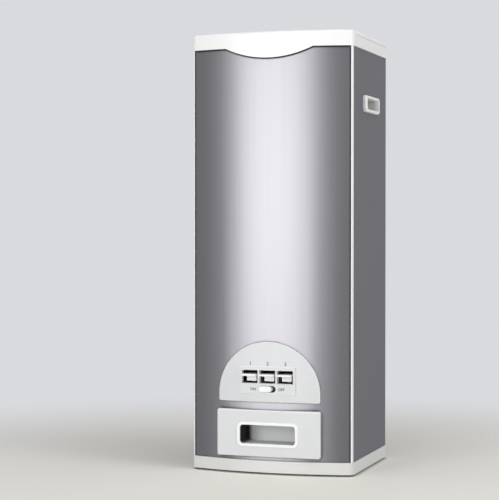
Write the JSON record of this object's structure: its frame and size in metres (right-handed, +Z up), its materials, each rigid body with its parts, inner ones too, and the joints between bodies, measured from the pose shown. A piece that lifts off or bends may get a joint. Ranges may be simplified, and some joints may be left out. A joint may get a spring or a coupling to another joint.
{
  "type": "rice dispenser bin",
  "caption": "Tall bin that stores rice under a hinged lid and drops measures of it into a pull-out drawer when a key is pressed, with a lock slider and side grips.",
  "frame": {"origin": "middle of the footprint's box, on the surface that the feet stand on", "axes": "+X right seen from the front, +Y to the rear, +Z up"},
  "size_m": [0.278, 0.253, 0.703],
  "materials": {
    "white_plastic": "glossy white",
    "black_plastic": "matt black",
    "natural_plastic": "translucent white",
    "grey_plastic": "matt grey",
    "steel": "zinc plated",
    "side_sheet": "satin grey paint",
    "front_sheet": "satin metallic grey",
    "foot_rubber": "matt black"
  },
  "bodies": {
    "cabinet": {"back_panel": "side_sheet", "back_screws": "steel", "base": "white_plastic", "base_screws": "steel", "control_panel": "white_plastic", "corner_trim_left": "white_plastic", "corner_trim_right": "white_plastic", "drawer_runner_left": "black_plastic", "drawer_runner_right": "black_plastic", "drawer_tunnel": "black_plastic", "fascia_screws": "steel", "foot_front_left": "foot_rubber", "foot_front_right": "foot_rubber", "foot_rear_left": "foot_rubber", "foot_rear_right": "foot_rubber", "front_panel": "front_sheet", "hand_grip_left": "white_plastic", "hand_grip_right": "white_plastic", "hinge_pin_left": "steel", "hinge_pin_right": "steel", "hopper": "natural_plastic", "hopper_funnel": "natural_plastic", "housing_screws": "steel", "metering_housing": "black_plastic", "metering_shaft": "steel", "rear_post_left": "side_sheet", "rear_post_right": "side_sheet", "return_spring_1": "steel", "return_spring_2": "steel", "return_spring_3": "steel", "shaft_clips": "steel", "side_panel_left": "side_sheet", "side_panel_right": "side_sheet", "top_frame": "white_plastic"},
    "lid": {"lid": "white_plastic", "lid_seal": "foot_rubber"},
    "drawer": {"drawer_front": "white_plastic", "drawer_cup": "grey_plastic", "drawer_tray": "natural_plastic", "drawer_screws": "steel"},
    "measure_key_1": {"key_1": "white_plastic", "measuring_rotor_1": "black_plastic"},
    "measure_key_2": {"key_2": "white_plastic", "measuring_rotor_2": "black_plastic"},
    "measure_key_3": {"key_3": "white_plastic", "measuring_rotor_3": "black_plastic"},
    "lock_slider": {"lock_knob": "white_plastic", "lock_bar": "black_plastic"}
  },
  "joints": [
    {"name": "lid_hinge", "type": "hinge", "parent": "cabinet", "child": "lid", "pos_m": [0, 0.1225, 0.69625], "axis": [-1, 0, 0], "range_deg": [0, 105]},
    {"name": "drawer_slide", "type": "slide", "parent": "cabinet", "child": "drawer", "axis": [0, -1, 0], "range_m": [0, 0.15]},
    {"name": "key_1_press", "type": "hinge", "parent": "cabinet", "child": "measure_key_1", "pos_m": [-0.0293, -0.082, 0.155], "axis": [1, 0, 0], "range_deg": [0, 16], "stiffness_Nm_per_rad": 0.35, "springref_deg": -11.46, "deforming": ["return_spring_1"]},
    {"name": "key_2_press", "type": "hinge", "parent": "cabinet", "child": "measure_key_2", "pos_m": [0, -0.082, 0.155], "axis": [1, 0, 0], "range_deg": [0, 16], "stiffness_Nm_per_rad": 0.35, "springref_deg": -11.46, "deforming": ["return_spring_2"]},
    {"name": "key_3_press", "type": "hinge", "parent": "cabinet", "child": "measure_key_3", "pos_m": [0.0293, -0.082, 0.155], "axis": [1, 0, 0], "range_deg": [0, 16], "stiffness_Nm_per_rad": 0.35, "springref_deg": -11.46, "deforming": ["return_spring_3"]},
    {"name": "lock_slide", "type": "slide", "parent": "cabinet", "child": "lock_slider", "axis": [-1, 0, 0], "range_m": [-0.006, 0]}
  ]
}
